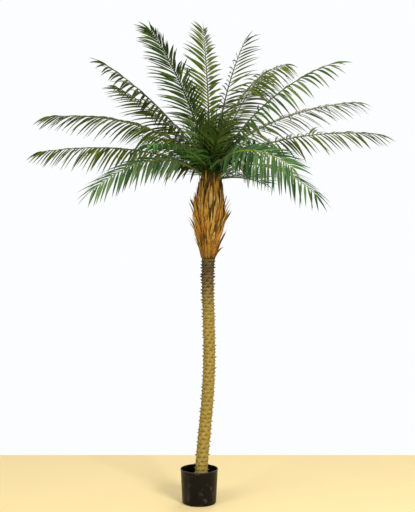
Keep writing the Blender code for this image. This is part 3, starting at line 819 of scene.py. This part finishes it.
def make_husk_strips():
    """Tiers of pointed strips, each tier's strips between those of the tier below.

    Somewhat under half of them stand off loosely, flared and twisted. A strip widens from
    its foot, and then narrows to a point by a power of the way along.
    """
    rng = np.random.default_rng(HUSK_SEED + 1)
    count = TIERS * STRIPS_ROUND
    tier, place = np.divmod(np.arange(count), STRIPS_ROUND)
    angle = FULL_TURN * (place + 0.5 * (tier % 2) + rng.normal(0, 0.14, count)) / STRIPS_ROUND
    foot = np.interp(tier, (0, TIERS - 1), (TIER_FOOT, TIER_LAST)) + rng.uniform(-0.008, 0.010, count)
    foot = np.maximum(foot, HUSK_FOOT + 0.001)
    length = np.minimum(rng.uniform(*STRIP_LENGTH, count), HUSK_TOP + STRIPS_PAST_TOP - foot)
    loose = rng.random(count) < LOOSE_SHARE
    flare = np.where(loose, rng.uniform(0.22, 0.44, count), rng.uniform(0.0, 0.12, count))
    flare = flare * np.interp(foot, (1.40, 1.50, 1.64, 1.68), (0.35, 0.8, 1, 0.1))
    drift = rng.normal(0, 0.10, count)
    angle[0], foot[0], length[0], flare[0], drift[0] = CHIP
    share, middle, ahead, wide = strip_paths(angle, foot, length, flare, drift)
    twist = (rng.normal(0, np.where(loose, 0.9, 0.3), count)[:, None] * share)[..., None]
    twist[0] = CHIP_TURN
    wide = unit(wide * np.cos(twist) + np.cross(ahead, wide) * np.sin(twist))
    base = rng.uniform(*STRIP_HALF, count)[:, None]
    base[0] = CHIP_HALF
    taper = 1 - 0.97 * share ** rng.uniform(1.6, 3.0, count)[:, None]
    half = base * np.minimum(1, 0.35 + 4 * share) * taper + 0.0004
    thick = np.full_like(half, STRIP_THICK) * (1 - 0.55 * share)
    rings = blade_rings(middle, ahead, wide, half, thick, cup=-0.22, corners=8)
    tones = [
        dry_fibre("husk_ochre", (0.460, 0.242, 0.036), (0.210, 0.102, 0.013)),
        dry_fibre("husk_straw", (0.600, 0.370, 0.100), (0.290, 0.165, 0.030)),
        dry_fibre("husk_rust", (0.390, 0.158, 0.017), (0.165, 0.062, 0.007)),
        dry_fibre("husk_brown", (0.100, 0.056, 0.011), (0.036, 0.019, 0.004)),
    ]
    chances = np.stack([at_height(values, foot) for values in STRIP_CHANCES], -1)
    tone_of = (rng.random(count)[:, None] > np.cumsum(chances, -1)).sum(-1)
    nodes = [f"husk_tier_{number}" for number in range(1, 7)]
    # Painted shade over the foot of each strip, where the tier above covers it; less on the lowest tiers.
    tucked_shade = np.clip(1 - share / 0.38, 0, 1) * at_height(((1.395, 0.55), (1.430, 1)), foot)[:, None]
    marks = {"tucked_shade": np.broadcast_to(tucked_shade[..., None], rings.shape[:3])}
    add_piece("husk_strips", rings, tones, nodes, tone_of=tone_of, marks=marks, crease=60.0)


def make_husk_fibres():
    """Loose hairs that lift off the spindle: thin stems that curve outwards and sideways."""
    rng = np.random.default_rng(HUSK_SEED + 2)
    angle = rng.uniform(0, FULL_TURN, HAIR_COUNT)
    foot = rng.uniform(1.40, 1.79, HAIR_COUNT)
    length = rng.uniform(*HAIR_LENGTH, HAIR_COUNT)
    flare = rng.uniform(0.10, 0.36, HAIR_COUNT)
    drift = rng.normal(0, 0.2, HAIR_COUNT)
    share, middle, ahead, wide = strip_paths(angle, foot, length, flare, drift, stations=6)
    middle = middle + 0.0015 * np.cross(wide, ahead)
    half = HAIR_HALF * (1 - 0.75 * share) + 0 * angle[:, None]
    rings = blade_rings(middle, ahead, wide, half, 2 * half, corners=3)
    material = dry_fibre("husk_hair", (0.480, 0.310, 0.130), (0.250, 0.140, 0.050))
    add_piece("husk_fibres", rings, [material], crease=80.0)


def heart_radius(height):
    """The source's cone, which narrows evenly upwards."""
    return HEART_RADIUS - HEART_TAPER * (height - HEART_FOOT)


def make_heart():
    """The cone in the middle of the crown, ridged by wound fibre.

    Above its shoulder is a dome: a quarter of an ellipse turned round.
    """
    side = np.linspace(HEART_FOOT, HEART_SHOULDER, 40)
    top = np.radians(np.linspace(10, 88, 9))
    height = np.concatenate([side, np.full_like(top, HEART_SHOULDER)])[:, None]
    dome = np.concatenate([np.zeros_like(side), top])[:, None]
    angle = turn_round(64)[None]
    rng = np.random.default_rng(HEART_SEED)
    radius = heart_radius(height) * np.cos(dome) + ripples(rng, angle, height, 18, 0.0006)
    level = np.broadcast_to(height + HEART_DOME * np.sin(dome), radius.shape)
    rings = np.stack([HEART_X + radius * np.cos(angle), radius * np.sin(angle), level], -1)
    add_piece("heart_cone", rings[None], [heart_fibre()], ["heart"], crease=75.0)


def rib_frames(frond, shares):
    """Points and frames along a rib, by the source's rule: the angle above level falls
    from launch by droop times share to the power bend, and the path is that summed up.
    """
    azimuth, rise, launch, droop, bend, roll, _, _, length_share = frond[:9]
    heading = math.radians(azimuth)
    flat = np.array([math.cos(heading), math.sin(heading), 0.0])
    side = np.cross(flat, UP)
    fine = np.linspace(0, 1, 201)
    angle = np.radians(launch - droop * ((fine[1:] + fine[:-1]) / 2) ** bend)
    step = RIB_LENGTH * length_share / len(angle)
    run = np.concatenate([[0], np.cumsum(np.cos(angle)) * step])
    climb = np.concatenate([[0], np.cumsum(np.sin(angle)) * step])
    height = STEM_FOOT + rise
    foot = np.array([HEART_X, 0, height]) + heart_radius(height) * flat
    shares = np.asarray(shares)
    points = foot + np.outer(np.interp(shares, fine, run), flat)
    points = points + np.outer(np.interp(shares, fine, climb), UP)
    angles = np.radians(launch - droop * shares**bend)
    ahead = np.outer(np.cos(angles), flat) + np.outer(np.sin(angles), UP)
    above = np.cross(side, ahead)
    turn = math.radians(roll) * np.clip(shares / BARE_STEM, 0, 1)[:, None]
    across = np.cos(turn) * side + np.sin(turn) * above
    over = np.cos(turn) * above - np.sin(turn) * side
    return points, ahead, across, over


def make_rib(name, frond, material):
    """A tapering stem with a broad foot: oval rings along the rib's path."""
    shares = np.concatenate([np.linspace(0, 0.12, 10), np.linspace(BARE_STEM, 1, 44)])
    points, ahead, across, over = rib_frames(frond, shares)
    points[0] -= RIB_SUNK * ahead[0]
    half, deep = at_height(RIB_HALF, shares), at_height(RIB_DEEP, shares)
    middle = points - over * deep[:, None] * 0.3
    rings = blade_rings(middle, ahead, across, half, deep, cup=0.12, corners=10)
    marks = {"along": np.broadcast_to(shares[None, :, None], (1, *rings.shape[:2]))}
    add_piece("rib_" + name, rings[None], [material], marks=marks, crease=70.0)


def leaflet_width(share):
    """Pinched at the root, widest before the middle, drawn to a point.

    It grows evenly to the full width, and falls off with the share to the power 1.7.
    """
    return np.minimum(1, 0.30 + 2.4 * share) * (1 - share**1.7)


def leaflet_rings(rng, root, start, wide, length, sag, broad, pitch):
    """Rings of leaflets that set out along start and bend down by sag as they go.

    wide is the blade's sideways direction before its pitch, in degrees about its middle;
    the blade is folded along its middle, more at the root than at the tip.
    """
    share = np.linspace(0, 1, 9)
    steps = start[:, None] - (sag[:, None] * (share[1:] + share[:-1]) / 2)[..., None] * UP
    path = np.cumsum(unit(steps), axis=1) * (length / len(steps[0]))[:, None, None]
    middle = root[:, None] + np.concatenate([np.zeros_like(path[:, :1]), path], axis=1)
    direction = unit(start[:, None] - (sag[:, None] * share)[..., None] * UP)
    wide = unit(wide[:, None] - direction * (wide[:, None] * direction).sum(-1, keepdims=True))
    twist = np.radians(pitch[:, None] + rng.normal(0, 9, len(root))[:, None] * share)[..., None]
    wide = wide * np.cos(twist) + np.cross(direction, wide) * np.sin(twist)
    half = broad[:, None] * leaflet_width(share) + 0.0003
    thick = LEAFLET_THICK * (1 - 0.6 * share) + 0 * half
    fold = np.radians(np.linspace(22, 6, len(share))) + 0 * half
    return blade_rings(middle, direction, wide, half * np.cos(fold), thick, cup=np.tan(fold), corners=4)


def add_leaflets(name, rings, tones, tone_of, nodes=()):
    """A piece of leaflets, whose points know how far they lie across their blade."""
    across = np.broadcast_to(np.array([0.5, 1.0, 0.5, 0.0]), rings.shape[:3])
    add_piece(name, rings, tones, nodes, tone_of=tone_of, marks={"across": across}, crease=30.0)


def make_inner_leaflets(tones):
    """Leaflets from the heart itself: they turn round it by the golden angle as they
    climb, set out steeper the higher they stand, and wander to both sides.
    """
    rng = np.random.default_rng(INNER_SEED)
    number = np.arange(INNER_COUNT)
    share = (number + 0.5) / INNER_COUNT
    azimuth = FULL_TURN * (GOLDEN_TURN * number)
    height = HEART_FOOT + 0.024 + (HEART_TOP - HEART_FOOT - 0.03) * share
    outward = np.stack([np.cos(azimuth), np.sin(azimuth), 0 * azimuth], -1)
    root = np.stack([HEART_X + 0 * height, 0 * height, height], -1)
    root += (heart_radius(height) - 0.004)[:, None] * outward
    heading = azimuth + rng.normal(0, 0.55, INNER_COUNT)
    rise = np.radians(28 + 45 * share + rng.normal(0, 13, INNER_COUNT))
    flat = np.stack([np.cos(heading), np.sin(heading), 0 * heading], -1)
    start = np.cos(rise)[:, None] * flat + np.sin(rise)[:, None] * UP
    length = rng.uniform(*INNER_LENGTH, INNER_COUNT) + 0.13 * share
    sag = rng.uniform(0.1, 0.5, INNER_COUNT)
    broad = LEAFLET_WIDTH / 2 * rng.uniform(*INNER_BREADTH, INNER_COUNT)
    pitch = rng.normal(0, 30, INNER_COUNT)
    rings = leaflet_rings(rng, root, start, np.cross(start, UP), length, sag, broad, pitch)
    tone_of = rng.choice(3, INNER_COUNT, p=(0.2, 0.4, 0.4))
    add_leaflets("leaflets_inner", rings, tones, tone_of)


def make_leaflets(name, frond, rng, tones):
    """Both rows of leaflets and the end one, grown from the rib by the source's rule.

    Each sets out between the rib's direction and its side, turned by the frond's lift,
    and bends down by the sag as it goes. The angle to the rib swings a little in loose
    clumps, and the lift is ruffled, most near the rib's foot. Each blade is pitched about
    its middle, mirrored between the rows.
    """
    lift_angle, spread, _, pair_count, first, blade_pitch, breadth, sag_share, _ = frond[6:]
    pairs = np.arange(pair_count)
    right, left = np.broadcast_to(first, 2)
    climb = ((pairs + 0.4) / pair_count) ** 1.15
    shares = [right + (1 - right) * climb, left + (1 - left) * climb + 0.3 / pair_count, [0.995]]
    shares = np.concatenate(shares)
    side = np.concatenate([np.ones(pair_count), -np.ones(pair_count), [1]])
    count = len(shares)
    points, ahead, across, over = rib_frames(frond, np.clip(shares, 0, 1))
    order = np.concatenate([pairs, pairs + 0.8, [0]])
    clump = 4.0 * np.sin(FULL_TURN * order / 2.7 + rng.uniform(0, 6, count) * 0.25)
    splay = spread * (SPLAY_FOOT + (SPLAY_TIP - SPLAY_FOOT) * shares**2)
    splay = splay + clump + rng.normal(0, 2.5, count)
    splay[-1] = 3.0
    splay = np.radians(splay)[:, None]
    ruffle = at_height(((0.05, 20), (0.40, 5)), shares)
    lift = np.radians(lift_angle + ruffle * rng.normal(0, 1, count))[:, None]
    sideways = side[:, None] * np.cos(lift) * across + np.sin(lift) * over
    start = np.cos(splay) * ahead + np.sin(splay) * sideways
    length = LEAFLET_LENGTH * at_height(LEAFLET_LENGTHS, shares) * rng.uniform(0.90, 1.08, count)
    sag = sag_share * rng.uniform(0.7, 1.4, count)
    root = points + side[:, None] * across * ROOT_ASIDE - over * ROOT_UNDER
    pitch = -side * blade_pitch + rng.normal(0, 9, count)
    broad = breadth * LEAFLET_WIDTH / 2 * rng.uniform(0.85, 1.1, count)
    broad = broad * at_height(((0, 0.8), (0.3, 1), (1, 0.7)), shares)
    rings = leaflet_rings(rng, root, start, -side[:, None] * ahead, length, sag, broad, pitch)
    tone_of = rng.choice(3, count, p=(0.3, 0.45, 0.25))
    add_leaflets("leaflets_" + name, rings, tones, tone_of, ["frond_" + name])


def make_fronds():
    """Every frond's rib and leaflets in its own tone, and the short leaflets between them."""
    tones = {
        tone: [leaf_green(f"leaf_{tone}_{number}", colour) for number, colour in enumerate(colours, 1)]
        for tone, colours in LEAF_TONES.items()
    }
    ribs = {tone: moulded_rib(f"rib_{tone}", *colours) for tone, colours in RIB_TONES.items()}
    for number, (name, frond) in enumerate(FRONDS.items()):
        rng = np.random.default_rng(FROND_SEED + number)
        make_rib(name, frond, ribs[frond[-1]])
        make_leaflets(name, frond, rng, tones[frond[-1]])
    make_inner_leaflets(tones["middling"])


add_camera()
add_stage()
make_pot()
make_fill()
make_trunk()
make_thorns()
make_husk_core()
make_husk_strips()
make_husk_fibres()
make_heart()
make_fronds()
